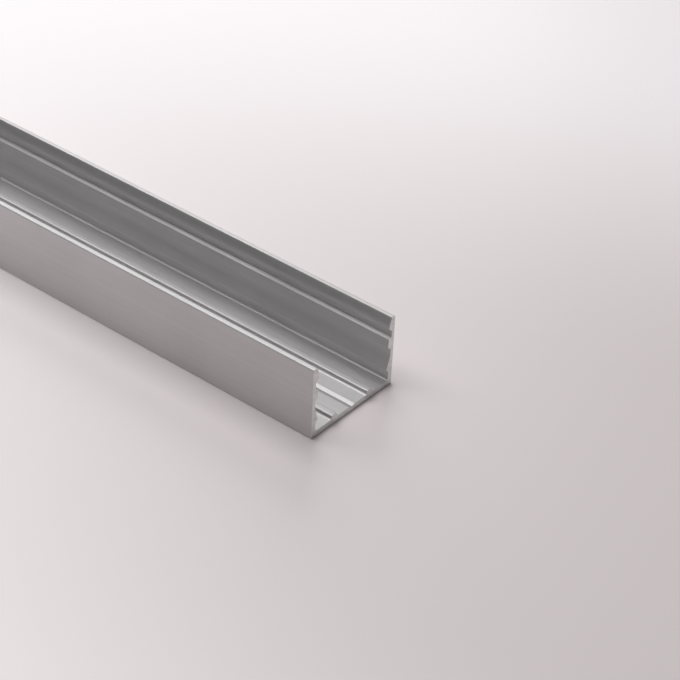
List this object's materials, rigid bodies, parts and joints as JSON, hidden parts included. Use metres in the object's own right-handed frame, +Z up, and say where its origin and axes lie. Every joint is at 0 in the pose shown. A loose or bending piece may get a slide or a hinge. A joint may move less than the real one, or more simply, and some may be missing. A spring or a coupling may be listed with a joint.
{
  "type": "aluminium extrusion profile",
  "caption": "Straight length of satin aluminium U-channel with inward snap hooks along its walls, board ribs and a drill line on its base, open at the top and at its sawn ends.",
  "frame": {"origin": "middle of the underside, halfway along the length", "axes": "+X along the length, towards the sawn end that the picture shows; +Y across the width; +Z up, out of the open side"},
  "size_m": [0.5, 0.03, 0.02],
  "materials": {
    "anodised_aluminium": "satin, clear anodised, with fine die lines along the length and bare sawn ends"
  },
  "bodies": {
    "root": {"channel_profile": "anodised_aluminium"}
  },
  "joints": []
}
